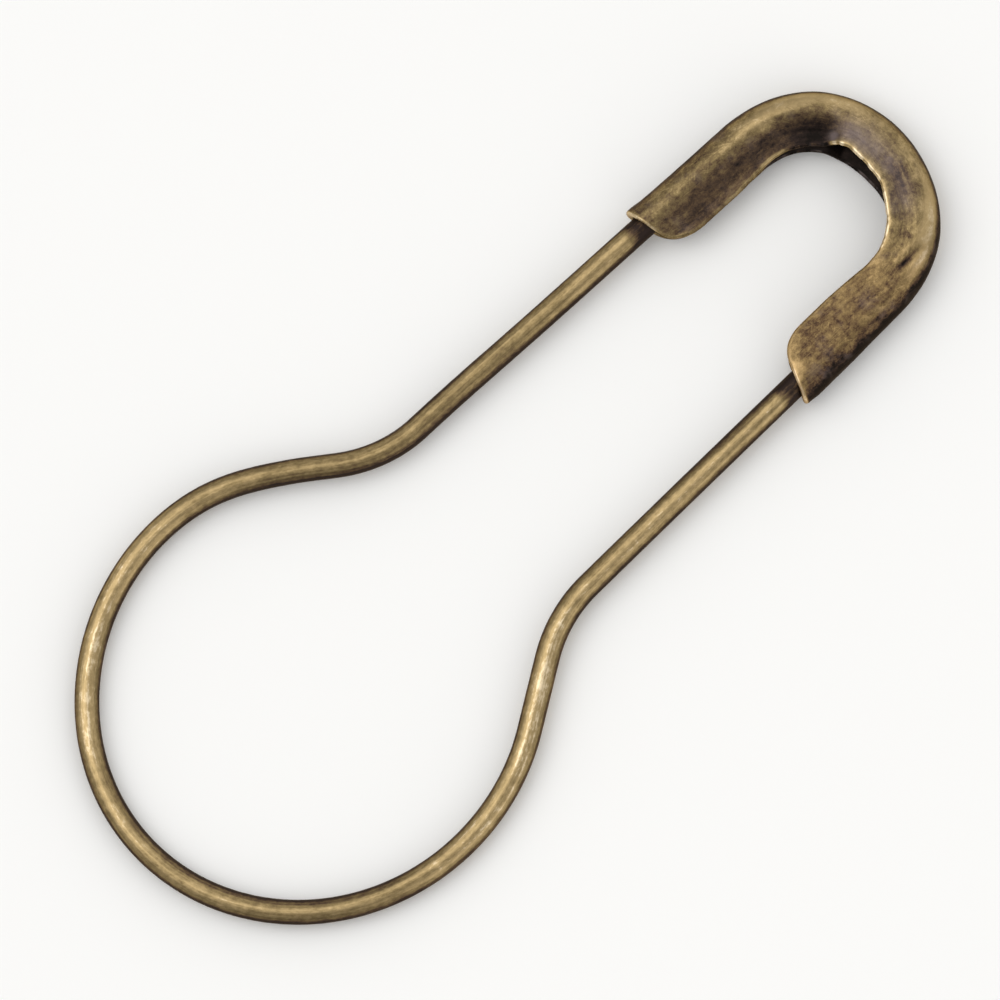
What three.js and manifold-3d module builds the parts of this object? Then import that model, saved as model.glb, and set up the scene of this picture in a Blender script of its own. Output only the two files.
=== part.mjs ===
// A bulb-shaped locking stitch marker: one springy wire whose two legs meet in a folded sheet metal cap.
// Millimetres. The pin lies flat: X runs along it from the bulb to the cap, Y across it, Z up.
// The origin is the middle of the pin, on the surface that the cap lies on.
import * as THREE from 'three';
import { mergeVertices } from 'three/addons/utils/BufferGeometryUtils.js';
import Module from 'manifold-3d';

// Overall. The bulb is a slightly long ellipse, measured over the wire.
const PIN_LENGTH = 22;
const BULB_LENGTH = 10.1;
const BULB_WIDTH = 9.64;

// Wire. Each side has its own neck, bent by hand to a slightly different curve. The shoulder's bend takes
// no more than a share of the straight neck before it.
const WIRE_DIAMETER = 0.52;
const FIXED_SIDE = { side: 1, neckAngle: 40, shoulderRadius: 2.8 };
const PIN_SIDE = { side: -1, neckAngle: 33, shoulderRadius: 3.2 };
const LEG_CONVERGENCE = 1;
const SHOULDER_SHARE = 0.98;
const SPRING_CUT_GAP = 0.07;
const POINT_LENGTH = 1.5;
const POINT_BLUNT = 0.1;

// Cap
const CAP_LENGTH = 5.4;
const MOUTH_SPREAD = 4.6;
const SHEET_THICKNESS = 0.18;
const CHANNEL_CLEARANCE = 0.04;
const WALL_REACH = 0.8;
const BEND_REACH_BELOW = 0.68;
const BEND_REACH_ABOVE = 0.52;
const SEAM_GAP = 0.06;
const SEAM_DISTANCE = 0.12;
const MOUTH_SLANT = 0.2;
const MOUTH_CORNER = 0.95;
const END_CLEARANCE = 0.1;

// Fineness of the curves
const WIRE_SIDES = 12;
const WIRE_STEPS = 64;
const CAP_STEPS = 52;
const WALL_POINTS = 8;
const ROUND_POINTS = 7;
const CORNER_STEPS = 6;
const MERGE_DISTANCE = 1e-5;

// Values worked out from the sizes above
const wireRadius = WIRE_DIAMETER / 2;
const boreRadius = wireRadius + CHANNEL_CLEARANCE;
const capRadius = boreRadius + SHEET_THICKNESS;
const bulbHalfLength = BULB_LENGTH / 2 - wireRadius;
const bulbHalfWidth = BULB_WIDTH / 2 - wireRadius;
const bulbX = (BULB_LENGTH - PIN_LENGTH) / 2;
const convergence = THREE.MathUtils.degToRad(LEG_CONVERGENCE);
const mouthX = PIN_LENGTH / 2 - CAP_LENGTH;

// The cap's bend is the circle that touches both legs and ends at the pin's far end.
const bendEndX = PIN_LENGTH / 2 - capRadius;
const legOffset = mouthX * Math.sin(convergence) + (MOUTH_SPREAD / 2) * Math.cos(convergence);
const bendRadius = (legOffset - bendEndX * Math.sin(convergence)) / (1 - Math.sin(convergence));
const bendX = bendEndX - bendRadius;
const straightLength = (bendX - mouthX) / Math.cos(convergence) + bendRadius * Math.tan(convergence);

const smooth = THREE.MathUtils.smoothstep;

// A point beside a leg: along it from the cap's mouth, and out from its centre line. side is 1 or -1.
function besideLeg(side, along, out) {
  const x = mouthX + along * Math.cos(convergence) + out * Math.sin(convergence);
  const y = MOUTH_SPREAD / 2 - along * Math.sin(convergence) + out * Math.cos(convergence);
  return new THREE.Vector2(x, side * y);
}

// The wire's centre line on one side, from the far end of the bulb to a point in the cap.
function wireRoute({ side, neckAngle, shoulderRadius }) {
  const neck = THREE.MathUtils.degToRad(neckAngle);
  const start = Math.PI - SPRING_CUT_GAP / 2 / bulbHalfWidth;
  const bulbEnd = Math.atan(bulbHalfWidth / (bulbHalfLength * Math.tan(neck)));
  const neckX = bulbX + bulbHalfLength * Math.cos(bulbEnd);
  const neckY = bulbHalfWidth * Math.sin(bulbEnd);
  // The straight neck and the leg meet at the shoulder's corner.
  const legAtZero = MOUTH_SPREAD / 2 + mouthX * Math.tan(convergence);
  const cornerX = (neckY + neckX * Math.tan(neck) - legAtZero) / (Math.tan(neck) - Math.tan(convergence));
  const cornerY = legAtZero - cornerX * Math.tan(convergence);
  // A round bend replaces the corner, and it is no larger than the neck leaves room for.
  const halfTurn = (neck - convergence) / 2;
  const neckLength = (cornerX - neckX) / Math.cos(neck);
  const radius = Math.min(shoulderRadius, (SHOULDER_SHARE * neckLength) / Math.tan(halfTurn));
  const reach = radius * Math.tan(halfTurn);
  const shoulderX = cornerX + reach * Math.cos(convergence) + radius * Math.sin(convergence);
  const shoulderY = cornerY - reach * Math.sin(convergence) + radius * Math.cos(convergence);
  const down = 1.5 * Math.PI;
  const route = new THREE.Path();
  const clockwise = side > 0;
  route.absellipse(bulbX, 0, bulbHalfLength, bulbHalfWidth, side * start, side * bulbEnd, clockwise);
  route.absarc(
    shoulderX,
    side * shoulderY,
    radius,
    side * (down - neck),
    side * (down - convergence),
    !clockwise,
  );
  route.lineTo(...besideLeg(side, straightLength - END_CLEARANCE, 0));
  return route;
}

// The cap's centre line: in along the fixed leg, round the bend and out along the pin leg.
function capRoute() {
  const route = new THREE.Path();
  const turn = Math.PI / 2 - convergence;
  route.moveTo(...besideLeg(1, 0, 0));
  route.lineTo(...besideLeg(1, straightLength, 0));
  route.absarc(bendX, 0, bendRadius, turn, -turn, true);
  route.lineTo(...besideLeg(-1, 0, 0));
  return route;
}

// Carries an outline along a flat route at the wire's height. The outline's X points to the left of the
// route and its Y up. form may reshape the outline on the way: it gets out, up and the distance run.
function sweep(outline, route, steps, form = (out, up) => [out, up]) {
  const bar = new THREE.ExtrudeGeometry(outline, { depth: 1, steps, bevelEnabled: false });
  const position = bar.getAttribute('position');
  const length = route.getLength();
  for (let i = 0; i < position.count; i += 1) {
    const share = THREE.MathUtils.clamp(position.getZ(i), 0, 1);
    const [out, up] = form(position.getX(i), position.getY(i), share * length);
    const point = route.getPoint(share);
    const heading = route.getTangent(share);
    position.setXYZ(i, point.x - heading.y * out, point.y + heading.x * out, capRadius + up);
  }
  return bar;
}

// Closed solids, for cutting
const wasm = await Module();
wasm.setup();

function toSolid(geometry) {
  geometry.deleteAttribute('normal');
  geometry.deleteAttribute('uv');
  const merged = mergeVertices(geometry, MERGE_DISTANCE);
  return new wasm.Manifold(new wasm.Mesh({
    numProp: 3,
    vertProperties: new Float32Array(merged.getAttribute('position').array),
    triVerts: new Uint32Array(merged.getIndex().array),
  }));
}

function toGeometry(solid) {
  const mesh = solid.getMesh();
  const geometry = new THREE.BufferGeometry();
  geometry.setAttribute('position', new THREE.BufferAttribute(mesh.vertProperties, 3));
  geometry.setIndex(new THREE.BufferAttribute(mesh.triVerts, 1));
  geometry.computeVertexNormals();
  return geometry;
}

// Wire: a round section, ending in the cap. The pin leg tapers to a slightly blunt point.
function wireSection() {
  const section = new THREE.Shape();
  for (let i = 0; i < WIRE_SIDES; i += 1) {
    const turn = (2 * Math.PI * i) / WIRE_SIDES;
    const corner = [wireRadius * Math.cos(turn), wireRadius * Math.sin(turn)];
    if (i === 0) section.moveTo(...corner);
    else section.lineTo(...corner);
  }
  return section;
}

function fixedLegWire() {
  return toGeometry(toSolid(sweep(wireSection(), wireRoute(FIXED_SIDE), WIRE_STEPS)));
}

function pinLegWire() {
  const route = wireRoute(PIN_SIDE);
  const length = route.getLength();
  const taper = (out, up, run) => {
    const left = Math.min(1, (length - run) / POINT_LENGTH);
    const scale = POINT_BLUNT + (1 - POINT_BLUNT) * Math.sqrt(left * (2 - left));
    return [out * scale, up * scale];
  };
  return toGeometry(toSolid(sweep(wireSection(), route, WIRE_STEPS, taper)));
}

// Cap: one sheet folded round the wire's outer side, with two flat walls that reach inwards.
function capSection() {
  const section = new THREE.Shape();
  const wall = (height, step) => section.lineTo(-WALL_REACH * (1 - step / WALL_POINTS), height);
  section.moveTo(-WALL_REACH, -capRadius);
  for (let i = 1; i <= WALL_POINTS; i += 1) wall(-capRadius, i);
  for (let i = 1; i <= 2 * ROUND_POINTS; i += 1) {
    const turn = -Math.PI / 2 + (Math.PI * i) / (2 * ROUND_POINTS);
    section.lineTo(capRadius * Math.cos(turn), capRadius * Math.sin(turn));
  }
  for (let i = WALL_POINTS - 1; i >= 0; i -= 1) wall(capRadius, i);
  for (let i = 0; i <= WALL_POINTS; i += 1) wall(boreRadius, i);
  for (let i = 1; i <= 2 * ROUND_POINTS; i += 1) {
    const turn = Math.PI / 2 - (Math.PI * i) / (2 * ROUND_POINTS);
    section.lineTo(boreRadius * Math.cos(turn), boreRadius * Math.sin(turn));
  }
  for (let i = WALL_POINTS - 1; i >= 0; i -= 1) wall(-boreRadius, i);
  return section;
}

// What is cut from one mouth: everything before a slanted lip with a rounded inner corner.
function mouthCutter(side) {
  const beyond = 1;
  const lipInner = -wireRadius / 2;
  const at = (along, out) => besideLeg(side, along, out);
  const outline = new THREE.Shape();
  outline.moveTo(...at(-beyond, capRadius + beyond));
  outline.lineTo(...at(0, capRadius + beyond));
  outline.lineTo(...at(0, capRadius));
  outline.lineTo(...at(MOUTH_SLANT, lipInner));
  outline.quadraticCurveTo(...at(MOUTH_SLANT, -WALL_REACH), ...at(MOUTH_CORNER, -WALL_REACH));
  outline.lineTo(...at(MOUTH_CORNER, -WALL_REACH - beyond));
  outline.lineTo(...at(-beyond, -WALL_REACH - beyond));
  const cutter = new THREE.ExtrudeGeometry(outline, {
    depth: 4 * capRadius,
    bevelEnabled: false,
    curveSegments: CORNER_STEPS,
  });
  cutter.translate(0, 0, -capRadius);
  return cutter;
}

function cap() {
  const route = capRoute();
  const length = route.getLength();
  const bendLength = length - 2 * straightLength;
  const pressDepth = boreRadius - SEAM_GAP / 2;
  const pressStart = -wireRadius / 2;
  const pressEnd = -boreRadius - SEAM_DISTANCE;
  const form = (out, up, run) => {
    // The walls are pressed together behind the fixed leg. They open again over the first half of the bend.
    const grip = 1 - smooth(run, straightLength, straightLength + bendLength / 2);
    const pressed = 1 - smooth(out, pressEnd, pressStart);
    const lowered = Math.sign(up) * (Math.abs(up) - pressDepth * grip * pressed);
    // The walls are narrower in the bend than along the legs, the upper one more so.
    const round = Math.sin(Math.PI * THREE.MathUtils.clamp((run - straightLength) / bendLength, 0, 1));
    const bendReach = up > 0 ? BEND_REACH_ABOVE : BEND_REACH_BELOW;
    const narrower = out < 0 ? 1 - (1 - bendReach / WALL_REACH) * round : 1;
    return [out * narrower, lowered];
  };
  const folded = toSolid(sweep(capSection(), route, CAP_STEPS, form));
  const cut = folded.subtract(toSolid(mouthCutter(1))).subtract(toSolid(mouthCutter(-1)));
  return toGeometry(cut);
}

// Antique brass plating: rubbed bright on the wire, darker on the cap
const wireBrass = () => new THREE.MeshStandardMaterial({ color: 0x8c7446, roughness: 0.38, metalness: 1 });
const capBrass = () => new THREE.MeshStandardMaterial({ color: 0x6b5a38, roughness: 0.46, metalness: 1 });

function part(name, geometry, material) {
  const mesh = new THREE.Mesh(geometry, material);
  mesh.name = name;
  return mesh;
}

const marker = new THREE.Group();
marker.add(part('cap', cap(), capBrass()));
marker.add(part('fixed_leg_wire', fixedLegWire(), wireBrass()));
marker.add(part('pin_leg_wire', pinLegWire(), wireBrass()));

export default marker;
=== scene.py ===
import math

import bpy
import numpy as np
from mathutils import Matrix, Vector


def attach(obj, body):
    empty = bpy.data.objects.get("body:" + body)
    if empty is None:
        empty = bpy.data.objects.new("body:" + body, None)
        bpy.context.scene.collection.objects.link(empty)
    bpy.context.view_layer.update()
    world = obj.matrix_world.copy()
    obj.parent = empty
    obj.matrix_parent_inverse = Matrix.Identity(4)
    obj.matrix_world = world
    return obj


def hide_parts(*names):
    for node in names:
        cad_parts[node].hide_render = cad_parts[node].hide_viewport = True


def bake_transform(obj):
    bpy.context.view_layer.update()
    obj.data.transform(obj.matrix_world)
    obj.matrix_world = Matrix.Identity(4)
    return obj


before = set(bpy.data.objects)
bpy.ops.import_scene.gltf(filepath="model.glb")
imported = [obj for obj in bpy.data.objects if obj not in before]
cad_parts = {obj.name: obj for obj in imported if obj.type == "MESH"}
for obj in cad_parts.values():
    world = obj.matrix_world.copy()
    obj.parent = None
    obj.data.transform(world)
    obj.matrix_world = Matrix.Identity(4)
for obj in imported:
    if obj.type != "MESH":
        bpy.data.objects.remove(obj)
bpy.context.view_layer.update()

# Wire.
# One length of round spring wire, bent cold: out of the cap along the fixed leg, round the bulb, and back
# along the pin leg to a ground point. It is brass plated, aged dark brown, and tumbled until its faces shine.
# Its colour also holds painted highlight and painted shade, along its length and on its sides.

# Sizes are in mm, as in the CAD, and become metres where a mesh or a node tree takes them.
MM = 0.001
PER_METRE = 1 / MM
PIN_LENGTH = 22.0
BULB_LENGTH = 10.1
BULB_WIDTH = 9.64
WIRE_RADIUS = 0.26
FIXED_SIDE = {"side": 1, "neck_angle": 40, "shoulder_radius": 2.8}
PIN_SIDE = {"side": -1, "neck_angle": 33, "shoulder_radius": 3.2}
CAP_LENGTH = 5.4
MOUTH_SPREAD = 4.6
END_CLEARANCE = 0.1
CAP_RADIUS = 0.48
CONVERGENCE = math.radians(1)
BULB_POINTS, SHOULDER_POINTS, LEG_POINTS = 200, 60, 160
NECK_SHARE = 0.98
# Small bends that show in the real wire: how far each goes, where its middle is, as a distance along the wire
# from the fixed leg's mouth, and its width.
HAND_BENDS = [(0.025, 5.2, 1.6), (-0.11, 9.3, 1.3), (-0.065, 15.6, 3.2), (0.032, 28.5, 5.0)]

bulb_half_length = BULB_LENGTH / 2 - WIRE_RADIUS
bulb_half_width = BULB_WIDTH / 2 - WIRE_RADIUS
bulb_x = (BULB_LENGTH - PIN_LENGTH) / 2
mouth_x = PIN_LENGTH / 2 - CAP_LENGTH
bend_end_x = PIN_LENGTH / 2 - CAP_RADIUS
leg_offset = mouth_x * math.sin(CONVERGENCE) + MOUTH_SPREAD / 2 * math.cos(CONVERGENCE)
bend_radius = (leg_offset - bend_end_x * math.sin(CONVERGENCE)) / (1 - math.sin(CONVERGENCE))
bend_x = bend_end_x - bend_radius
straight_length = (bend_x - mouth_x) / math.cos(CONVERGENCE) + bend_radius * math.tan(CONVERGENCE)


def beside_leg(side, along, out):
    """The point that lies out from a leg's centre line, at a distance along it from the cap's mouth."""
    x = mouth_x + along * np.cos(CONVERGENCE) + out * np.sin(CONVERGENCE)
    y = MOUTH_SPREAD / 2 - along * np.sin(CONVERGENCE) + out * np.cos(CONVERGENCE)
    return np.stack([x, side * y], -1)


def bump_at(value, centre, width):
    """1 at the centre, and falling to nothing on both sides of it."""
    return np.exp(-(((value - centre) / width) ** 2))


def bent_by_hand(route):
    """Moves the centre line sideways, as the bending of a real pin leaves it."""
    run = np.r_[0, np.cumsum(np.hypot(*np.diff(route, axis=0).T))] - (straight_length - END_CLEARANCE)
    ahead = np.gradient(route, axis=0)
    ahead /= np.linalg.norm(ahead, axis=1)[:, None]
    out = sum(size * bump_at(run, centre, width) for size, centre, width in HAND_BENDS)
    return route + out[:, None] * np.stack([ahead[:, 1], -ahead[:, 0]], -1)


def wire_side(side, neck_angle, shoulder_radius):
    """One side's centre line in mm, from the far end of the bulb to the end inside the cap."""
    neck = math.radians(neck_angle)
    bulb_end = math.atan(bulb_half_width / (bulb_half_length * math.tan(neck)))
    turn = np.linspace(math.pi, bulb_end, BULB_POINTS)
    bulb = np.stack([bulb_x + bulb_half_length * np.cos(turn), side * bulb_half_width * np.sin(turn)], -1)
    neck_x, neck_y = bulb[-1][0], abs(bulb[-1][1])
    leg_at_zero = MOUTH_SPREAD / 2 + mouth_x * math.tan(CONVERGENCE)
    corner_x = (neck_y + neck_x * math.tan(neck) - leg_at_zero) / (math.tan(neck) - math.tan(CONVERGENCE))
    corner_y = leg_at_zero - corner_x * math.tan(CONVERGENCE)
    half_turn = (neck - CONVERGENCE) / 2
    neck_length = (corner_x - neck_x) / math.cos(neck)
    radius = min(shoulder_radius, NECK_SHARE * neck_length / math.tan(half_turn))
    reach = radius * math.tan(half_turn)
    centre_x = corner_x + reach * math.cos(CONVERGENCE) + radius * math.sin(CONVERGENCE)
    centre_y = corner_y - reach * math.sin(CONVERGENCE) + radius * math.cos(CONVERGENCE)
    turn = np.linspace(1.5 * math.pi - neck, 1.5 * math.pi - CONVERGENCE, SHOULDER_POINTS)
    shoulder = np.stack([centre_x + radius * np.cos(turn), side * (centre_y + radius * np.sin(turn))], -1)
    leg_end = beside_leg(side, straight_length - END_CLEARANCE, 0)
    leg = shoulder[-1] + (leg_end - shoulder[-1]) * np.linspace(0, 1, LEG_POINTS)[1:, None]
    return np.concatenate([bulb[1:], shoulder, leg])


class Wired:
    """A value in a node tree. Sums, products and powers of it add Math nodes, and node() adds any other."""

    def __init__(self, tree, socket=None):
        self.tree = tree
        self.socket = socket

    def node(self, kind, settings=None, values=None, output=None):
        """Adds a node with these settings and socket values or links, and gives the output of this name."""
        made = self.tree.nodes.new(kind)
        for name, value in (settings or {}).items():
            if name == "stops":
                ramp = made.color_ramp
                while len(ramp.elements) < len(value):
                    ramp.elements.new(1)
                for element, (place, colour) in zip(ramp.elements, value):
                    element.position = place
                    element.color = (*colour, 1)
            else:
                setattr(made, name, value)
        for name, value in (values or {}).items():
            found = [s for s in made.inputs if s.enabled and name in (s.identifier, s.name)]
            socket = made.inputs[name] if isinstance(name, int) else found[0]
            if isinstance(value, Wired):
                self.tree.links.new(value.socket, socket)
            else:
                socket.default_value = value
        shown = [s for s in made.outputs if s.enabled and output in (None, s.identifier, s.name)]
        return Wired(self.tree, shown[0] if shown else None)

    def maths(self, operation, a, b):
        return self.node("ShaderNodeMath", {"operation": operation}, {0: a, 1: b})

    def __add__(self, other):
        return self.maths("ADD", self, other)

    def __sub__(self, other):
        return self.maths("SUBTRACT", self, other)

    def __rsub__(self, other):
        return self.maths("SUBTRACT", other, self)

    def __mul__(self, other):
        return self.maths("MULTIPLY", self, other)

    def __truediv__(self, other):
        return self.maths("DIVIDE", self, other)

    def __pow__(self, other):
        return self.maths("POWER", self, other)

    __radd__ = __add__
    __rmul__ = __mul__

    def stretch(self, x, y, z):
        """Scales a place or a colour along each of its three axes."""
        return self.node("ShaderNodeVectorMath", {"operation": "MULTIPLY"}, {0: self, 1: (x, y, z)})

    def dot(self, other):
        """How far a direction points along another one."""
        return self.node("ShaderNodeVectorMath", {"operation": "DOT_PRODUCT"}, {0: self, 1: other}, "Value")

    def part(self, axis):
        """One axis of a place or a direction."""
        return self.node("ShaderNodeSeparateXYZ", None, {"Vector": self}, axis)

    def noise(self, scale, detail=2.0, roughness=0.5, distortion=0.0):
        """Smooth noise at this place, between 0 and 1."""
        values = {"Vector": self, "Scale": scale, "Detail": detail, "Roughness": roughness}
        return self.node("ShaderNodeTexNoise", None, {**values, "Distortion": distortion}, "Fac")

    def step(self, low, high):
        """Rises smoothly from 0 at low to 1 at high."""
        settings = {"interpolation_type": "SMOOTHSTEP"}
        return self.node("ShaderNodeMapRange", settings, {"Value": self, "From Min": low, "From Max": high})

    def mix(self, a, b):
        """The colour that this share of the way from a to b gives."""
        values = {"Factor_Float": self, "A_Color": a, "B_Color": b}
        return self.node("ShaderNodeMix", {"data_type": "RGBA"}, values, "Result_Color")

    def read(self, name, output="Fac"):
        """What a mesh holds under a name, in a material."""
        return self.node("ShaderNodeAttribute", {"attribute_name": name}, None, output)

    def stored(self, name, value, kind="FLOAT"):
        """This geometry, with a value for each of its points held under a name."""
        settings = {"data_type": kind, "domain": "POINT"}
        values = {"Geometry": self, "Name": name, "Value": value}
        return self.node("GeometryNodeStoreNamedAttribute", settings, values)


def shape_tree(name, sizes):
    """A Geometry Nodes tree with named inputs. Gives the tree, its inputs and the socket of its result."""
    tree = bpy.data.node_groups.new(name, "GeometryNodeTree")
    tree.interface.new_socket("Geometry", in_out="INPUT", socket_type="NodeSocketGeometry")
    for label, (kind, value) in sizes.items():
        socket = tree.interface.new_socket(label, in_out="INPUT", socket_type="NodeSocket" + kind)
        if value is not None:
            socket.default_value = value
    tree.interface.new_socket("Geometry", in_out="OUTPUT", socket_type="NodeSocketGeometry")
    given = tree.nodes.new("NodeGroupInput")
    inputs = {socket.name: Wired(tree, socket) for socket in given.outputs if socket.name}
    return tree, inputs, tree.nodes.new("NodeGroupOutput").inputs[0]


def end_shape(geometry, relief, given, result):
    """Raises a surface by relief, smooths it and gives it its finish, as the end of a tree."""
    facing = geometry.node("GeometryNodeInputNormal", None, None, "Normal")
    values = {0: facing, "Scale": relief}
    offset = geometry.node("ShaderNodeVectorMath", {"operation": "SCALE"}, values, "Vector")
    geometry = geometry.node("GeometryNodeSetPosition", None, {"Geometry": geometry, "Offset": offset})
    for kind in ("GeometryNodeSetShadeSmooth", "GeometryNodeRealizeInstances"):
        geometry = geometry.node(kind, None, {"Geometry": geometry})
    values = {"Geometry": geometry, "Material": given["Finish"]}
    geometry = geometry.node("GeometryNodeSetMaterial", None, values)
    geometry.tree.links.new(geometry.socket, result)


def shape_with(piece, tree, sizes, finish):
    """Runs a tree on a piece with these sizes, and keeps the result as its plain mesh."""
    values = {name: value for name, (kind, value) in sizes.items()} | {"Finish": finish}
    modifier = piece.modifiers.new(tree.name, "NODES")
    modifier.node_group = tree
    for item in tree.interface.items_tree:
        if item.in_out == "INPUT" and item.name in values:
            modifier[item.identifier] = values[item.name]
    graph = bpy.context.evaluated_depsgraph_get()
    shaped = piece.evaluated_get(graph)
    made = bpy.data.meshes.new_from_object(shaped, preserve_all_data_layers=True, depsgraph=graph)
    piece.modifiers.clear()
    piece.data = made
    made.name = piece.name


def new_piece(name, points, edges, faces):
    """A mesh object at the origin, from points in metres."""
    mesh = bpy.data.meshes.new(name)
    mesh.from_pydata(points, edges, faces)
    piece = bpy.data.objects.new(name, mesh)
    bpy.context.scene.collection.objects.link(piece)
    return piece


WORN_EDGE = (0.82, 0.67, 0.44)
RUBBED_BRASS = (0.46, 0.335, 0.165)
AGED_BRASS = (0.245, 0.178, 0.082)
BROWN_PATINA = (0.104, 0.066, 0.039)
DARK_PATINA = (0.031, 0.021, 0.018)
AGED_COLOURS = [DARK_PATINA, BROWN_PATINA, AGED_BRASS, RUBBED_BRASS, WORN_EDGE]
GRAZING_TINT = (0.62, 0.52, 0.42, 1)
WIRE_RELIEF = 0.003


def new_finish(name):
    """An empty material, and a value to start its nodes from."""
    finish = bpy.data.materials.new(name)
    finish.use_nodes = True
    tree = finish.node_tree
    tree.nodes.clear()
    return finish, Wired(tree)


def finish_with(start, wear_and_light, colour, roughness, relief, depth):
    """Brass where wear is high, patina where it is low; that value also carries painted highlight and shade.
    relief is the surface's height, in units of depth.
    """
    bump = start.node("ShaderNodeBump", None, {"Strength": 1.0, "Distance": depth, "Height": relief})
    values = {"Base Color": colour, "Roughness": roughness, "Metallic": 0.8 + 0.2 * wear_and_light.step(0.1, 0.5)}
    values |= {"Specular IOR Level": 0.3, "Specular Tint": GRAZING_TINT, "Normal": bump}
    surface = start.node("ShaderNodeBsdfPrincipled", None, values)
    start.node("ShaderNodeOutputMaterial", None, {"Surface": surface})


wire_finish, start = new_finish("antique_brass_wire")
place = start.read("rest", "Vector")
drawn = start.read("drawn", "Vector")
flank = start.read("flank")
stain = start.read("stain")
inside = start.read("inside")
mottle = place.noise(0.9, 3, 0.6)
cloud = place.noise(4.5, 3, 0.6)
streak = drawn.stretch(0.35, 17, 17).noise(1.0, 2, 0.55)
fleck = drawn.stretch(9, 22, 22).noise(1.0, 3, 0.65)
# run is the distance along the wire from the fixed leg's mouth. Painted highlight brightens the bulb's two
# sides, where the wire runs across the light, and painted shade darkens the fixed leg's neck and, less, the
# bottom of the bulb.
run = drawn.part("X") - (straight_length - END_CLEARANCE)
painted_highlight = 0.6 * (run.step(10.5, 13.5) - run.step(16.5, 19.5)) + 0.8 * (run.step(25, 27.5) - run.step(31, 33.5))
painted_shade = run.step(1, 6) - run.step(9, 12.5) + 0.4 * (run.step(18, 20) - run.step(24, 26))
# Its sides darken with flank: painted shade, for the dark edges that the light leaves along a round wire.
wear_and_light = 0.70 - 0.62 * flank.step(0.14, 0.62) - 0.62 * stain + 0.15 * painted_highlight - 0.17 * painted_shade + 0.4 * (mottle - 0.5)
wear_and_light = wear_and_light + 0.45 * (cloud - 0.5) + 0.6 * (streak - 0.5) + 0.55 * (fleck - 0.5)
# Its inner side, away from the light, gets painted shade: a little everywhere, more at the far end of the
# bulb and by the pin leg's mouth.
inner_shade = 0.07 + 0.20 * (run.step(15.5, 20) - run.step(24, 26.5)) + 0.18 * run.step(34.5, 36.5)
wear_and_light = wear_and_light - inner_shade * inside.step(0.15, 0.55)
stops = list(zip((0.05, 0.25, 0.52, 0.82, 1.0), AGED_COLOURS))
colour = start.node("ShaderNodeValToRGB", {"stops": stops}, {"Fac": wear_and_light}, "Color")
roughness = 0.46 - 0.14 * wear_and_light.step(0.2, 0.7) + 0.2 * (fleck - 0.5)
finish_with(start, wear_and_light, colour, roughness, streak + fleck + 0.5 * cloud, WIRE_RELIEF * MM)

sizes = {
    "Wire radius": ("Float", WIRE_RADIUS * MM),
    "Step": ("Float", 0.06 * MM),
    "Sides": ("Int", 36),
    "Point length": ("Float", 1.5 * MM),
    "Point blunt": ("Float", 0.1),
    "Unevenness": ("Float", 0.012),
    "Swells per metre": ("Float", 420.0),
    "Nick depth": ("Float", 0.004 * MM),
    "Nicks per metre": ("Float", 2600.0),
    "Hidden length": ("Float", (straight_length - END_CLEARANCE) * MM),
    "Stain length": ("Float", 0.45 * MM),
    "Bulb centre": ("Float", bulb_x * MM),
    "Finish": ("Material", None),
}
tree, given, result = shape_tree("drawn_wire", sizes)
start = Wired(tree)
curve = start.node("GeometryNodeMeshToCurve", None, {"Mesh": given["Geometry"]})
curve = start.node("GeometryNodeResampleCurve", {"mode": "LENGTH"}, {"Curve": curve, "Length": given["Step"]})
along = start.node("GeometryNodeSplineParameter", None, None, "Length")
whole = start.node("GeometryNodeSplineLength", None, None, "Length")
left = start.maths("MINIMUM", (whole - along) / given["Point length"], 1)
taper = given["Point blunt"] + (1 - given["Point blunt"]) * (left * (2 - left)) ** 0.5
spot = start.node("GeometryNodeInputPosition")
swell = 1 + given["Unevenness"] * (spot.noise(given["Swells per metre"], 2) - 0.5)
curve = curve.stored("along", along)
# Darker where it goes into a cap: most at the mouth, less deeper inside, and fading a short way out. Lighter
# at the point.
from_mouth = (start.maths("MINIMUM", along, whole - along) - given["Hidden length"]) / given["Stain length"]
stain = (1 - from_mouth.step(0.1, 1)) * (0.3 + 0.7 * from_mouth.step(-3.5, -1)) - 0.35 * (1 - left)
curve = curve.stored("stain", stain)
ring = start.node(
    "GeometryNodeCurvePrimitiveCircle", {"mode": "RADIUS"},
    {"Resolution": given["Sides"], "Radius": given["Wire radius"]}, "Curve",
)
turn = start.node("GeometryNodeSplineParameter", None, None, "Factor")
ring = ring.stored("turn", turn)
swept = start.node(
    "GeometryNodeCurveToMesh", None,
    {"Curve": curve, "Profile Curve": ring, "Scale": taper * swell, "Fill Caps": True},
)
along = start.node("GeometryNodeInputNamedAttribute", {"data_type": "FLOAT"}, {"Name": "along"}, "Attribute")
turn = start.node("GeometryNodeInputNamedAttribute", {"data_type": "FLOAT"}, {"Name": "turn"}, "Attribute")
angle = 2 * math.pi * turn
around = start.node(
    "ShaderNodeCombineXYZ", None,
    {
        "X": along * PER_METRE,
        "Y": WIRE_RADIUS * start.maths("COSINE", angle, 0),
        "Z": WIRE_RADIUS * start.maths("SINE", angle, 0),
    },
)
swept = swept.stored("drawn", around, "FLOAT_VECTOR")
swept = swept.stored("rest", spot.stretch(PER_METRE, PER_METRE, PER_METRE), "FLOAT_VECTOR")
facing = start.node("GeometryNodeInputNormal", None, None, "Normal")
swept = swept.stored("flank", 1 - start.maths("ABSOLUTE", facing.part("Z"), 0))
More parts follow.
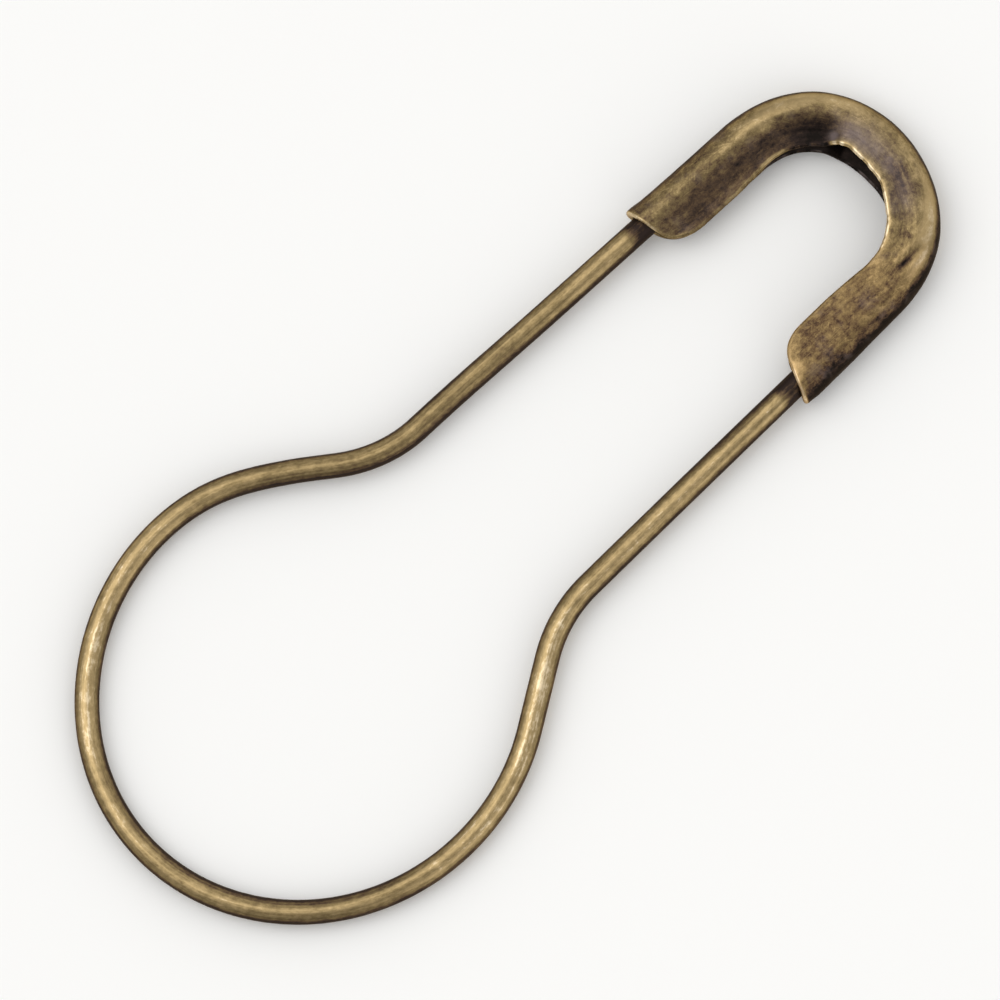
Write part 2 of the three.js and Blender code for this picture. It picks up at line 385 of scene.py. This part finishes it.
# How much a point faces the middle of the bulb or, beside the legs, the space between them.
past_bulb = start.maths("MINIMUM", spot.part("X") - given["Bulb centre"], 0)
outwards = start.node("ShaderNodeCombineXYZ", None, {"X": past_bulb, "Y": spot.part("Y")})
outwards = start.node("ShaderNodeVectorMath", {"operation": "NORMALIZE"}, {0: outwards}, "Vector")
swept = swept.stored("inside", 0 - facing.dot(outwards))
nick = given["Nick depth"] * (spot.noise(given["Nicks per metre"], 3, 0.6) - 0.5)
end_shape(swept, nick, given, result)

far_end = [[bulb_x - bulb_half_length, 0]]
route = np.concatenate([wire_side(**FIXED_SIDE)[::-1], far_end, wire_side(**PIN_SIDE)])
points = [(x * MM, y * MM, CAP_RADIUS * MM) for x, y in bent_by_hand(route)]
wire = new_piece("wire", points, [(i, i + 1) for i in range(len(points) - 1)], [])
shape_with(wire, tree, sizes, wire_finish)
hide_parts("fixed_leg_wire", "pin_leg_wire")
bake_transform(wire)

# Cap.
# One strip of 0.18 mm sheet, folded lengthways round the wire and bent into a U. Its walls are pressed
# together behind the fixed leg, which grips it, and stay open along the pin leg. Its edges and crests are
# rubbed bright, with painted highlight on them too, and painted shade darkens its outer sides, its pressed
# trough and its inner side.
SHEET = 0.18
BORE_RADIUS = 0.30
MIDDLE_RADIUS = BORE_RADIUS + SHEET / 2
WALL_REACH = 0.8
SEAM_GAP = 0.06
FIXED_MOUTH_SLANT, PIN_MOUTH_SLANT = 0.20, 0.30
CORNER_FROM = 0.30
CORNER_LENGTH = 0.78
EDGE_ROUND = 0.075
EDGE_FULLNESS = 0.8
EDGE_POINTS = 5
POINTS_ALONG = 380
POINTS_ACROSS = 104
CORNER_POINTS = 14
CORNER_SPLIT = 0.62
EDGE_THINNING = 0.02
MARK_AT = 8.72
MARK_SLOPE = 0.33
MARK_DEPTH, MARK_RIDGE = 0.035, 0.015
DISH_DEPTH = 0.035
TEAR_LIFT, TEAR_RIPPLE = 0.02, 0.012
TEAR_WANDER, TEAR_TEETH = 0.016, 0.011
WALL_DROP = 0.03
WALL_FLARE = 0.03
CURVE_STEP = 0.01
NUDGE = 0.001

half_round = MIDDLE_RADIUS * math.pi / 2
half_strip = half_round + WALL_REACH
bend_length = bend_radius * (math.pi - 2 * CONVERGENCE)
strip_length = 2 * straight_length + bend_length
press_depth = BORE_RADIUS - SEAM_GAP / 2


def smooth(value, low, high):
    """Rises smoothly from 0 at low to 1 at high."""
    share = np.clip((value - low) / (high - low), 0, 1)
    return share * share * (3 - 2 * share)


def eased(knots, width):
    """A line through knots of (distance along the strip, value), with its corners rounded over a width."""
    places = np.arange(-2, strip_length + 2, CURVE_STEP)
    window = np.hanning(2 * round(width / (2 * CURVE_STEP)) + 3)
    reach = len(window) // 2
    line = np.pad(np.interp(places, *zip(*knots)), reach, mode="edge")
    line = np.convolve(line, window / window.sum(), "valid")
    return lambda along: np.interp(along, places, line)


def uneven(seed, spacing):
    """A line that wanders between -1 and 1 without repeating."""
    places = np.arange(-1, strip_length + 1, spacing)
    heights = np.random.default_rng(seed).uniform(-1, 1, len(places))
    return eased(list(zip(places, heights)), spacing)


# How far each wall reaches in past the wire, along the strip: the upper one is torn back in the bend.
upper_reach = eased([
    (0.5, 0.83), (1.0, 0.87), (2.0, 0.86), (2.7, 0.81), (3.3, 0.75), (3.6, 0.71), (4.1, 0.69), (4.85, 0.64),
    (5.1, 0.54), (5.5, 0.53), (6.1, 0.58), (6.6, 0.57), (7.1, 0.59), (7.7, 0.62), (8.3, 0.61), (9.0, 0.67),
    (9.6, 0.73), (10.2, 0.78), (10.6, 0.80),
], 0.22)
lower_reach = eased([
    (2.6, 0.80), (3.2, 0.79), (4.0, 0.76), (5.0, 0.76), (6.0, 0.77), (6.5, 0.73), (7.0, 0.65), (7.5, 0.57),
    (8.0, 0.55), (8.6, 0.58), (9.2, 0.65), (10.0, 0.74), (10.6, 0.79),
], 0.4)
press_start = eased([(2.9, -0.02), (3.5, 0.10), (4.9, 0.12)], 0.5)
press_end = eased([(2.9, -0.62), (3.8, -0.46), (4.8, -0.40)], 0.5)
grip = eased([(4.85, 1.0), (5.3, 0.0)], 0.3)
torn = eased([(4.7, 0.2), (5.2, 1.0), (7.4, 1.0), (8.6, 0.7), (9.6, 0.0)], 0.4)
wandering = uneven(5, 0.34)
jagged = uneven(11, 0.09)
open_bend = eased([(4.9, 0.0), (5.5, 1.0), (8.2, 1.0), (9.4, 0.0)], 0.4)
rippled = uneven(3, 0.12)
swelling = eased([
    (0.0, -0.03), (1.0, -0.055), (3.0, -0.06), (4.5, 0.015), (5.6, -0.01), (6.8, -0.035), (8.2, 0.015),
    (9.5, -0.04), (11.0, 0.0), (12.4, 0.015),
], 0.8)


def beside_route(along, out):
    """The point that lies out from the U's centre line, at a distance along it from the fixed leg's mouth."""
    turn = math.pi / 2 - CONVERGENCE - (along - straight_length) / bend_radius
    radius = bend_radius + out
    bend = np.stack([bend_x + radius * np.cos(turn), radius * np.sin(turn)], -1)
    before = beside_leg(1, along, out)
    after = beside_leg(-1, strip_length - along, out)
    line = np.where((along < straight_length)[..., None], before, bend)
    return np.where((along > straight_length + bend_length)[..., None], after, line)


def tool_mark(along, out):
    """A short groove near the outer edge, and the ridges beside it."""
    off = out + MARK_SLOPE * (along - MARK_AT)
    length = 1 - smooth(np.abs(along - MARK_AT), 0.16, 0.42)
    ridge = bump_at(off, -0.16, 0.05) + 0.7 * bump_at(off, 0.17, 0.045)
    return bump_at(off, 0.01, 0.095) * length, ridge * length


def fold_angle(across):
    """The sheet's turn at a distance across the strip: 0 on its outer side, a right angle at its walls."""
    return np.clip(across / MIDDLE_RADIUS, -math.pi / 2, math.pi / 2)


def folded(along, across):
    """Places points of the flat strip on the folded cap's middle surface, in mm."""
    upper = across > 0
    into_wall = np.maximum(np.abs(across) - half_round, 0)
    turn = fold_angle(across)
    ragged = torn(along) * (TEAR_WANDER * wandering(along) + TEAR_TEETH * jagged(along))
    reach = np.where(upper, upper_reach(along) + ragged, lower_reach(along))
    out = MIDDLE_RADIUS * np.cos(turn) - into_wall * reach / WALL_REACH
    up = np.abs(MIDDLE_RADIUS * np.sin(turn))
    # The walls are pressed together behind the fixed leg and round the first third of the bend.
    pressed = smooth(-out, -press_start(along), -press_end(along))
    up = up - press_depth * grip(along) * pressed
    up = up + WALL_FLARE * grip(along) * smooth(-out, 0.62, 0.82)
    # The upper wall is dished a little in the open part of the bend, and its torn edge is turned up.
    lift = -DISH_DEPTH * bump_at(out, -0.26, 0.16) + TEAR_LIFT * smooth(-out, 0.38, 0.52)
    lift = lift + TEAR_RIPPLE * rippled(along) * smooth(-out, 0.2, 0.5)
    lift = open_bend(along) * lift
    # Along the pin leg it slopes a little towards its edge.
    lift = lift - WALL_DROP * smooth(along, 8.0, 10.0) * smooth(-out, 0.05, 0.8)
    # The bending tool left a short mark near the outer edge.
    groove, ridge = tool_mark(along, out)
    lift = lift - MARK_DEPTH * groove + MARK_RIDGE * ridge
    up = up + np.where(upper, lift, 0)
    flat = beside_route(along, out)
    height = CAP_RADIUS + np.where(upper, up, -up)
    return np.concatenate([flat, height[..., None]], -1)


def corner_curve(t):
    """The strip's corner, from its mouth to its long edge: flatter than a quarter of an ellipse."""
    far = half_round + CORNER_FROM
    return CORNER_LENGTH * (0.6 * t * t + 0.4 * t), far + (half_strip - far) * (1 - (1 - t) ** 2)


def mouth_line(count, slant):
    """The strip's end, from its lower corner to its upper one: a slanted lip with round corners."""
    far = half_round + CORNER_FROM
    t = np.linspace(CORNER_SPLIT, 0, count // 5)[:-1]
    corner_along, corner_across = corner_curve(t)
    corner_along = slant + corner_along
    turn = np.linspace(-far, far, count - 2 * len(t))
    across_wall = np.maximum(np.abs(turn) - half_round, 0)
    out = MIDDLE_RADIUS * np.cos(fold_angle(turn)) - across_wall
    lip = slant * (MIDDLE_RADIUS - out) / (MIDDLE_RADIUS + CORNER_FROM)
    along = np.concatenate([corner_along, lip, corner_along[::-1]])
    across = np.concatenate([-corner_across, turn, corner_across[::-1]])
    return np.stack([along, across], -1)


def side_line(count, start_slant, end_slant, side):
    """The strip's long edge, from where its first corner is half round to where its last one is."""
    t = np.linspace(CORNER_SPLIT, 1, CORNER_POINTS)[:-1]
    along, across = corner_curve(t)
    start, end = start_slant + CORNER_LENGTH, strip_length - end_slant - CORNER_LENGTH
    straight = np.linspace(start, end, count - 2 * len(t))
    along = np.concatenate([start_slant + along, straight, strip_length - end_slant - along[::-1]])
    across = np.concatenate([across, np.full(len(straight), half_strip), across[::-1]])
    return np.stack([along, side * across], -1)


first = mouth_line(POINTS_ACROSS, FIXED_MOUTH_SLANT)
last = mouth_line(POINTS_ACROSS, PIN_MOUTH_SLANT) * (-1, 1) + (strip_length, 0)
lower = side_line(POINTS_ALONG, FIXED_MOUTH_SLANT, PIN_MOUTH_SLANT, -1)
upper = side_line(POINTS_ALONG, FIXED_MOUTH_SLANT, PIN_MOUTH_SLANT, 1)
loop = np.concatenate([lower[:-1], last[:-1], upper[::-1][:-1], first[::-1][:-1]])
forward = np.roll(loop, -1, 0) - np.roll(loop, 1, 0)
outward = np.stack([forward[:, 1], -forward[:, 0]], -1)
outward /= np.linalg.norm(outward, axis=1)[:, None]
inset = loop - EDGE_ROUND * outward

# The strip is filled from its inset edge: each point is a blend of the four sides, less that of the corners.
rows, columns = POINTS_ALONG, POINTS_ACROSS
bottom = inset[:rows]
right = inset[rows - 1:rows - 1 + columns]
top = inset[rows + columns - 2:2 * rows + columns - 2][::-1]
left_side = np.concatenate([inset[2 * rows + columns - 3:], inset[:1]])[::-1]
u = np.linspace(0, 1, rows)[:, None, None]
v = np.linspace(0, 1, columns)[None, :, None]
strip = (1 - v) * bottom[:, None] + v * top[:, None] + (1 - u) * left_side[None] + u * right[None]
corners = (1 - u) * (1 - v) * bottom[0] + u * (1 - v) * bottom[-1] + (1 - u) * v * top[0] + u * v * top[-1]
strip = strip - corners


def on_sheet(flat):
    """Position and normal of the middle surface at points of the flat strip."""
    step_along, step_across = np.array([NUDGE, 0]), np.array([0, NUDGE])
    place = folded(flat[..., 0], flat[..., 1])
    ahead = folded(*np.moveaxis(flat + step_along, -1, 0)) - folded(*np.moveaxis(flat - step_along, -1, 0))
    across = folded(*np.moveaxis(flat + step_across, -1, 0)) - folded(*np.moveaxis(flat - step_across, -1, 0))
    normal = np.cross(across, ahead)
    return place, normal / np.linalg.norm(normal, axis=-1)[..., None]


def to_edge(flat):
    """Distance from a point of the strip to the nearest point of its edge."""
    near = np.full(flat.shape[:-1], np.inf)
    for point in loop[::3]:
        near = np.minimum(near, np.hypot(flat[..., 0] - point[0], flat[..., 1] - point[1]))
    return near


place, normal = on_sheet(strip)
rim_place, rim_normal = on_sheet(inset)
rim_out = on_sheet(inset + 2 * NUDGE * outward)[0] - rim_place
rim_out /= np.linalg.norm(rim_out, axis=1)[:, None]
half_sheet = SHEET / 2
edge_near = to_edge(strip)
half_here = half_sheet - EDGE_THINNING * (1 - smooth(edge_near, 0, 0.35))
half_rim = half_sheet - EDGE_THINNING
inner = place - normal * half_here[..., None]
# The bend has drawn the sheet thinner in some places and thicker in others along its outer side.
turned_out = np.cos(fold_angle(strip[..., 1]))
half_outer = half_here + swelling(strip[..., 0]) * smooth(turned_out, 0.1, 0.9) * smooth(edge_near, 0.05, 0.4)
outer = place + normal * half_outer[..., None]
turns = np.linspace(math.pi / 2, -math.pi / 2, 2 * EDGE_POINTS + 1)[1:-1]
rims = []
for turn in turns:
    past_edge = EDGE_ROUND * math.cos(turn) ** EDGE_FULLNESS
    rims.append(rim_place + rim_out * past_edge + rim_normal * half_rim * math.sin(turn))
points = np.concatenate([outer.reshape(-1, 3), inner.reshape(-1, 3), *rims])

# The faces: the sheet's outer side, its inner side, and the rings of its rounded edge between them.
count = rows * columns
row, column = np.meshgrid(np.arange(rows - 1), np.arange(columns - 1), indexing="ij")
corner = (row * columns + column).ravel()
faces_outer = np.stack([corner, corner + columns, corner + columns + 1, corner + 1], -1)
faces = [faces_outer, faces_outer[:, ::-1] + count]
border = np.concatenate([
    np.arange(rows - 1) * columns, (rows - 1) * columns + np.arange(columns - 1),
    np.arange(rows - 1, 0, -1) * columns + columns - 1, np.arange(columns - 1, 0, -1),
])
per_ring = len(border)
rings = [2 * count + ring * per_ring + np.arange(per_ring) for ring in range(len(rims))]
rings = [border] + rings + [border + count]
for ring, after in zip(rings, rings[1:]):
    faces.append(np.stack([ring, after, np.roll(after, -1), np.roll(ring, -1)], -1))
faces = np.concatenate(faces)[:, ::-1]
cap = new_piece("folded_cap", (points * MM).tolist(), [], faces.tolist())

# Where the finish is rubbed bright, where the dark patina stays, and where it has a grey bloom, and where
# light and shade are painted on: highlights on crests, edges and rims, shade on the outer sides, in the
# trough and inside, and one glint. The numbers are distances along the strip and out from the wire, and
# shares of how much the cap is rubbed and lit.
BASE_RUB = 0.44
LIP_RUB_AND_HIGHLIGHT = 1.35
# The sheet's inner side is made near black by these two: patina, and painted shade for the shadow inside the
# cap.
INSIDE_RUB_AND_SHADE = 0.5
INSIDE_HOLLOW_AND_SHADE = 1.9
along, across = strip[..., 0], strip[..., 1]
upper = across > 0
reach = np.where(upper, upper_reach(along), lower_reach(along))
into_wall = np.maximum(np.abs(across) - half_round, 0)
out = MIDDLE_RADIUS * np.cos(fold_angle(across)) - into_wall * reach / WALL_REACH
crest = eased([(2.6, 0.03), (3.6, 0.17), (4.5, 0.27), (6.0, 0.27), (7.0, 0.26), (8.4, 0.16)], 0.6)(along)
# Painted highlight along the crest, on top of its rubbing.
crest_rub_and_highlight = eased([
    (0.4, 0.08), (2.5, 0.22), (3.6, 0.80), (4.6, 0.70), (5.4, 0.55), (6.2, 0.25), (7.4, 0.40), (8.5, 0.90),
    (9.6, 0.1),
], 0.6)(along)
# Painted highlight along the sheet's edges, brightest on the torn edge and at the mouths, on top of their
# rubbing.
edge_rub_and_highlight = eased([
    (0.0, 0.9), (0.35, 0.15), (3.0, 0.15), (4.6, 0.1), (5.2, 1.0), (8.6, 1.0), (9.6, 0.35), (11.6, 0.5),
    (12.2, 1.1),
], 0.3)(along)
edge = np.where(upper, edge_rub_and_highlight, 0.5) * bump_at(edge_near, 0, 0.06 + 0.04 * torn(along))
crest_width = eased([
    (3.0, 0.17), (4.5, 0.14), (5.5, 0.20), (7.0, 0.17), (8.5, 0.22), (12.0, 0.2),
], 0.6)(along)
rub_and_light_outer = BASE_RUB + crest_rub_and_highlight * bump_at(out, crest, crest_width) + 0.9 * edge
# Painted highlight on the outer side late in the bend, and a lighter patch on the pin leg's inner wall.
gilt_and_highlight = bump_at(along, 7.7, 0.8) * bump_at(out, 0.27, 0.11)
gilt_and_highlight = gilt_and_highlight + 0.4 * bump_at(along, 9.1, 0.8) * bump_at(out, -0.42, 0.2)
umber = bump_at(along, 11.5, 0.6) * bump_at(out, 0.2, 0.16)
umber = umber + 0.7 * bump_at(along, 9.8, 0.35) * bump_at(out, -0.15, 0.12)
umber = umber + 0.8 * bump_at(along, 6.9, 0.6) * bump_at(out, -0.14, 0.14)
umber = umber + 0.45 * bump_at(along, 10.5, 0.4) * bump_at(out, -0.1, 0.13)
by_mouth = bump_at(along, 12.0, 0.16) * bump_at(out, -0.2, 0.16)
rub_and_light_outer = rub_and_light_outer + 0.30 * gilt_and_highlight - 0.38 * umber + 0.5 * by_mouth
shade_from = eased([
    (3.2, 0.28), (4.2, 0.32), (7.6, 0.32), (8.5, 0.23), (9.4, 0.11), (10.8, 0.10), (12.2, 0.10),
], 0.5)(along)
shade_full = eased([(7.6, 0.385), (8.5, 0.345), (9.4, 0.30), (10.4, 0.385)], 0.5)(along)
shade = eased([
    (0.0, 0.10), (3.0, 0.25), (4.2, 0.75), (7.6, 0.75), (8.5, 0.80), (9.5, 0.66), (10.6, 0.52), (12.2, 0.36),
], 0.5)(along)
rub_and_light_outer = rub_and_light_outer - shade * smooth(out, shade_from, shade_full)
groove, ridge = tool_mark(along, out)
rub_and_light_outer = rub_and_light_outer + upper * (0.35 * ridge - 0.6 * groove)
# The pressed trough behind the fixed leg keeps dark patina, and painted shade darkens it further where it
# slopes from the light and where it deepens into the slot. The outer side gets painted shade here too, and
# the tool mark's groove keeps patina.
trough_and_shade = grip(along) * (0.6 + 0.4 * smooth(along, 0.3, 1.4)) * smooth(-out, 0.0, 0.34)
trough_and_shade = trough_and_shade * (0.95 - 0.2 * smooth(-out, 0.55, 0.8))
trough_and_shade = trough_and_shade + 0.8 * bump_at(along, 4.45, 0.6) * smooth(-out, -0.12, 0.12)
trough_and_shade = trough_and_shade + smooth(out, 0.26, 0.38) + 0.8 * groove * upper
grey_and_glint = eased([(4.9, 0.0), (5.4, 1.15), (6.0, 0.8), (6.6, 0.4), (7.4, 0.5), (8.0, 0.0)], 0.4)(along)
grey_and_glint = grey_and_glint * bump_at(out, -0.24, 0.26) * upper
# The rims: painted highlight on the lips and along the torn edge, on top of their rubbing, and painted shade
# on the upper rim from 3.9 to 4.9 mm and on the lower rim along the slot.
ring_along, ring_across = loop[:, 0], loop[:, 1]
lip = 1 - smooth(np.abs(ring_across), half_round + 0.12, half_round + 0.5)
rim_rub_light_and_shade = eased([
    (0.5, 0.6), (2.5, 0.4), (2.9, 0.95), (3.5, 1.0), (3.9, -0.2), (4.9, -0.2), (5.1, 1.5), (8.6, 1.4),
    (9.6, 0.6), (11.6, 0.9),
], 0.2)(ring_along)
lower_rim_light_and_shade = eased([(2.4, 0.5), (3.2, -0.4), (7.6, -0.4), (8.4, 0.5)], 0.3)(ring_along)
rim_rub_light_and_shade = rim_rub_light_and_shade + 0.5 * torn(ring_along) * jagged(ring_along)
rim_rub_light_and_shade = np.where(ring_across < 0, lower_rim_light_and_shade, rim_rub_light_and_shade)
rim_rub_light_and_shade = rim_rub_light_and_shade + (LIP_RUB_AND_HIGHLIGHT - rim_rub_light_and_shade) * lip
# A painted glint where the torn wall rises towards the light, in the grey bloom's colour.
glint = 1.6 * bump_at(along, 5.08, 0.13) * bump_at(out, -0.42, 0.13) * upper
grey_and_glint = np.maximum(grey_and_glint, glint)
on_rims = len(rims) * per_ring
rub = np.concatenate([rub_and_light_outer.ravel(), np.full(count, INSIDE_RUB_AND_SHADE), np.tile(rim_rub_light_and_shade, len(rims))])
hollow = np.concatenate([trough_and_shade.ravel(), np.full(count, INSIDE_HOLLOW_AND_SHADE), np.zeros(on_rims)])
bloom = np.concatenate([grey_and_glint.ravel(), np.zeros(count + on_rims)])
flat = np.concatenate([strip.reshape(-1, 2), strip.reshape(-1, 2), np.tile(loop, (len(rims), 1))])
attribute = cap.data.attributes.new("sheet", "FLOAT_VECTOR", "POINT")
attribute.data.foreach_set("vector", np.column_stack([flat, np.zeros(len(flat))]).astype(np.float32).ravel())
for name, values in {"rub": rub, "hollow": hollow, "bloom": bloom}.items():
    attribute = cap.data.attributes.new(name, "FLOAT", "POINT")
    attribute.data.foreach_set("value", values.astype(np.float32))

# The darkest colour: black patina, and painted shade inside the cap and in the slot.
BLACK_PATINA_AND_SHADE = (0.010, 0.008, 0.007)
GREY_BLOOM_AND_GLINT = (0.20, 0.158, 0.148, 1)
SCRATCH_WIDTH = 0.028
# Each set of scratches has its turn, its length, and its own place in the noise.
SCRATCHES = [(0.45, 0.45, 3.0), (-0.7, 0.35, 8.0), (0.05, 0.8, 14.0)]
CAP_RELIEF = 0.005
cap_finish, start = new_finish("antique_brass_cap")
place = start.node("ShaderNodeTexCoord", None, None, "Object").stretch(PER_METRE, PER_METRE, PER_METRE)
# The cap's rubbing is read here with its painted highlight and shade, its hollows' patina with their painted
# shade, and its grey bloom with a painted glint.
rubbed_and_lit = start.read("rub")
recess_and_shade = start.read("hollow")
bloom_and_glint_share = start.read("bloom")
sheet = start.read("sheet", "Vector")
mottle = place.noise(1.1, 3, 0.6)
cloud = place.noise(3.6, 4, 0.62)
fleck = place.noise(11, 3, 0.65)
speck = place.noise(34, 2, 0.6)
brushed = sheet.stretch(1.7, 9, 1).noise(1.0, 3, 0.6)
scratches = []
for turn, length, shift in SCRATCHES:
    values = {"Vector": sheet, "Location": (shift, shift, 0), "Rotation": (0, 0, turn)}
    values |= {"Scale": (length, SCRATCH_WIDTH, 1)}
    laid = start.node("ShaderNodeMapping", {"vector_type": "TEXTURE"}, values)
    scratches.append(laid.noise(1.0, 1, 0.5).step(0.62, 0.74))
scratch = scratches[0] + scratches[1] + scratches[2]
calm = (1 - 0.42 * recess_and_shade) * (1 - 0.6 * rubbed_and_lit.step(0.7, 1.15))
mixture = 0.4 * (mottle - 0.5) + 0.65 * (cloud - 0.5) + 0.6 * (fleck - 0.5) + 0.3 * (speck - 0.5)
wear_and_light = 0.13 + 0.56 * rubbed_and_lit - 0.20 * recess_and_shade + (mixture + 0.55 * (brushed - 0.5) + 0.12 * scratch) * calm
stops = list(zip((0.0, 0.1, 0.26, 0.5, 0.8, 1.0), [BLACK_PATINA_AND_SHADE, *AGED_COLOURS]))
colour = start.node("ShaderNodeValToRGB", {"stops": stops}, {"Fac": wear_and_light}, "Color")
violet = place.noise(2.3, 3, 0.6).step(0.5, 0.72)
# Grey where the bloom is, where the painted glint is, and in violet patches.
bloom_glint_violet_share = bloom_and_glint_share * (0.2 + 1.1 * cloud) + 0.4 * violet * (1 - rubbed_and_lit) * (1 - 0.7 * recess_and_shade)
colour = bloom_glint_violet_share.mix(colour, GREY_BLOOM_AND_GLINT)
# It is a little browner on the pin leg.
browner = sheet.part("X").step(7.9, 9.6)
colour = browner.mix(colour, colour.stretch(1.01, 0.94, 0.89))
roughness = 0.48 - 0.16 * wear_and_light.step(0.2, 0.7) + 0.2 * (fleck - 0.5)
relief = (fleck + 0.8 * cloud + 0.4 * speck - 0.5 * scratch) * calm
finish_with(start, wear_and_light, colour, roughness, relief, CAP_RELIEF * MM)

sizes = {
    "Ripple depth": ("Float", 0.014 * MM),
    "Ripples per metre": ("Float", 1100.0),
    "Grain depth": ("Float", 0.005 * MM),
    "Grains per metre": ("Float", 5200.0),
    "Finish": ("Material", None),
}
tree, given, result = shape_tree("pressed_sheet", sizes)
spot = Wired(tree).node("GeometryNodeInputPosition")
relief = given["Ripple depth"] * (spot.noise(given["Ripples per metre"], 2) - 0.5)
relief = relief + given["Grain depth"] * (spot.noise(given["Grains per metre"], 2) - 0.5)
end_shape(given["Geometry"], relief, given, result)
shape_with(cap, tree, sizes, cap_finish)
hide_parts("cap")
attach(cap, "cap_and_fixed_leg")

# Floor, light and camera.
# A plain white sheet on a table, under a wide soft light from the upper left. The pin lies on its cap and on
# the far end of its bulb, so the sheet leans by the height between them. Its size and gap are in metres.
FLOOR_SIZE = 3.0
FLOOR_GAP = 0.00001
FLOOR_COLOUR = (0.955, 0.95, 0.932, 1)
lean = math.atan2(CAP_RADIUS - WIRE_RADIUS, mouth_x + PIN_LENGTH / 2)
half = FLOOR_SIZE / 2
corners = [(-half, -half, 0), (half, -half, 0), (half, half, 0), (-half, half, 0)]
floor = new_piece("floor", corners, [], [(0, 1, 2, 3)])
tilt = Matrix.Translation((mouth_x * MM, 0, -FLOOR_GAP)) @ Matrix.Rotation(lean, 4, "Y")
floor.data.transform(tilt)
floor_finish, start = new_finish("white_sheet")
surface = start.node("ShaderNodeBsdfPrincipled", None, {"Base Color": FLOOR_COLOUR, "Roughness": 0.9})
start.node("ShaderNodeOutputMaterial", None, {"Surface": surface})
floor.data.materials.append(floor_finish)

WINDOW = Vector((-0.3, 0.45, 1)).normalized()
LOWER_WINDOW = Vector((0.1, -1, 0.42)).normalized()
RIGHT_WINDOW = Vector((1, 0.1, 0.4)).normalized()
SKY_LEVEL = 0.22
# What each light adds to the sky, where it is, and how near to it a direction is where it starts and is full.
SOFT_LIGHTS = [
    (0.52, WINDOW, -0.1, 0.95),
    (1.3, WINDOW, 0.8, 1),
    (1.0, LOWER_WINDOW, 0.82, 0.97),
    (0.75, RIGHT_WINDOW, 0.5, 0.95),
]
world = bpy.data.worlds.new("studio")
bpy.context.scene.world = world
world.use_nodes = True
start = Wired(world.node_tree)
facing = start.node("ShaderNodeTexCoord", None, None, "Generated")
level = SKY_LEVEL
for strength, window, low, high in SOFT_LIGHTS:
    level = level + strength * facing.dot(window).step(low, high)
sky = world.node_tree.nodes["Background"].inputs
sky["Color"].default_value = (1, 1, 1, 1)
world.node_tree.links.new(level.socket, sky["Strength"])

VIEW_FROM = Vector((-0.055, -0.121, 1)).normalized()
PICTURE_UP = Vector((0.682, 0.731, 0))
CAMERA_DISTANCE = 0.3
PICTURE_MIDDLE = Vector((-0.00039, 0.00015, 0.0005))
camera = bpy.data.objects.new("camera", bpy.data.cameras.new("camera"))
camera.data.lens = 520
camera.data.clip_start = 0.01
camera.data.clip_end = 10
right_way = PICTURE_UP.cross(VIEW_FROM).normalized()
up_way = VIEW_FROM.cross(right_way)
turned = Matrix((right_way, up_way, VIEW_FROM)).transposed().to_4x4()
camera.matrix_world = Matrix.Translation(PICTURE_MIDDLE + VIEW_FROM * CAMERA_DISTANCE) @ turned
bpy.context.scene.collection.objects.link(camera)
bpy.context.scene.camera = camera
bpy.context.scene.view_settings.view_transform = "Standard"

bpy.context.view_layer.update()
